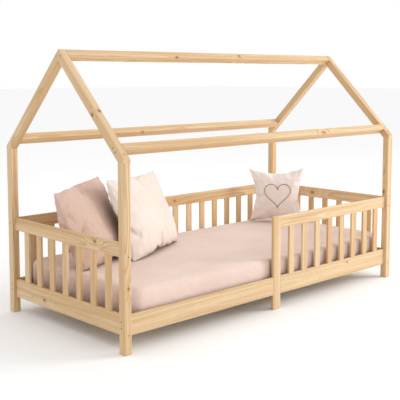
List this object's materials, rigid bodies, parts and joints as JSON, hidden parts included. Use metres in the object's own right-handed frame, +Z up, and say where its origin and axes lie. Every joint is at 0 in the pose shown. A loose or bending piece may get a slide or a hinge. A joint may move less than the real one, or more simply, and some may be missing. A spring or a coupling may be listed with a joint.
{
  "type": "house-frame toddler bed",
  "caption": "House-shaped pine toddler bed with baluster guards, a front entry gap, slatted base, mattress, pillows and a small pointed cushion.",
  "frame": {"origin": "on the floor, under the middle of the bed frame", "axes": "+X along the bed from head to foot, -Y towards the entry side, +Z up"},
  "size_m": [2.08, 0.97, 1.3616],
  "materials": {
    "pine": "sanded, unvarnished",
    "beech": "plain",
    "screw_steel": "zinc plated",
    "sheet": "washed cotton",
    "pillow_case_dark": "washed cotton",
    "pillow_case_light": "washed cotton",
    "cushion_cover": "washed cotton"
  },
  "bodies": {
    "frame": {"post_head_front": "pine", "post_head_back": "pine", "post_foot_front": "pine", "post_foot_back": "pine", "rafter_head_front": "pine", "rafter_head_back": "pine", "rafter_foot_front": "pine", "rafter_foot_back": "pine", "ridge_beam": "pine", "eaves_beam_front": "pine", "eaves_beam_back": "pine", "low_rail_head": "pine", "low_rail_foot": "pine", "low_rail_back": "pine", "low_rail_front": "pine", "guard_rail_head": "pine", "guard_rail_foot": "pine", "guard_rail_back": "pine", "guard_rail_front": "pine", "entry_stile": "pine", "balusters_head": "pine", "balusters_foot": "pine", "balusters_back": "pine", "balusters_front": "pine", "slat_cleat_front": "pine", "slat_cleat_back": "pine", "slat_01": "pine", "slat_02": "pine", "slat_03": "pine", "slat_04": "pine", "slat_05": "pine", "slat_06": "pine", "slat_07": "pine", "slat_08": "pine", "slat_09": "pine", "slat_10": "pine", "slat_11": "pine", "slat_12": "pine", "low_rail_screws": "screw_steel", "guard_rail_screws": "screw_steel", "end_rail_screws": "screw_steel", "ridge_screws": "screw_steel", "eaves_screws": "screw_steel", "rafter_foot_screws": "screw_steel", "stile_screws": "screw_steel", "cleat_screws": "screw_steel", "slat_screws": "screw_steel", "rail_dowels": "beech", "stile_dowels": "beech", "apex_dowels": "beech"},
    "mattress": {"mattress": "sheet"},
    "pillow_back": {"pillow_back": "pillow_case_dark"},
    "pillow_front": {"pillow_front": "pillow_case_light"},
    "cushion": {"cushion": "cushion_cover"}
  },
  "joints": [
    {"name": "mattress_lift", "type": "slide", "parent": "frame", "child": "mattress", "axis": [0, 0, 1], "range_m": [0, 0.38]},
    {"name": "pillow_back_out", "type": "slide", "parent": "mattress", "child": "pillow_back", "axis": [0, -1, 0], "range_m": [0, 0.9]},
    {"name": "pillow_front_out", "type": "slide", "parent": "pillow_back", "child": "pillow_front", "axis": [0, -1, 0], "range_m": [0, 0.9]},
    {"name": "cushion_lift", "type": "slide", "parent": "mattress", "child": "cushion", "axis": [0, 0, 1], "range_m": [0, 1.1]}
  ]
}
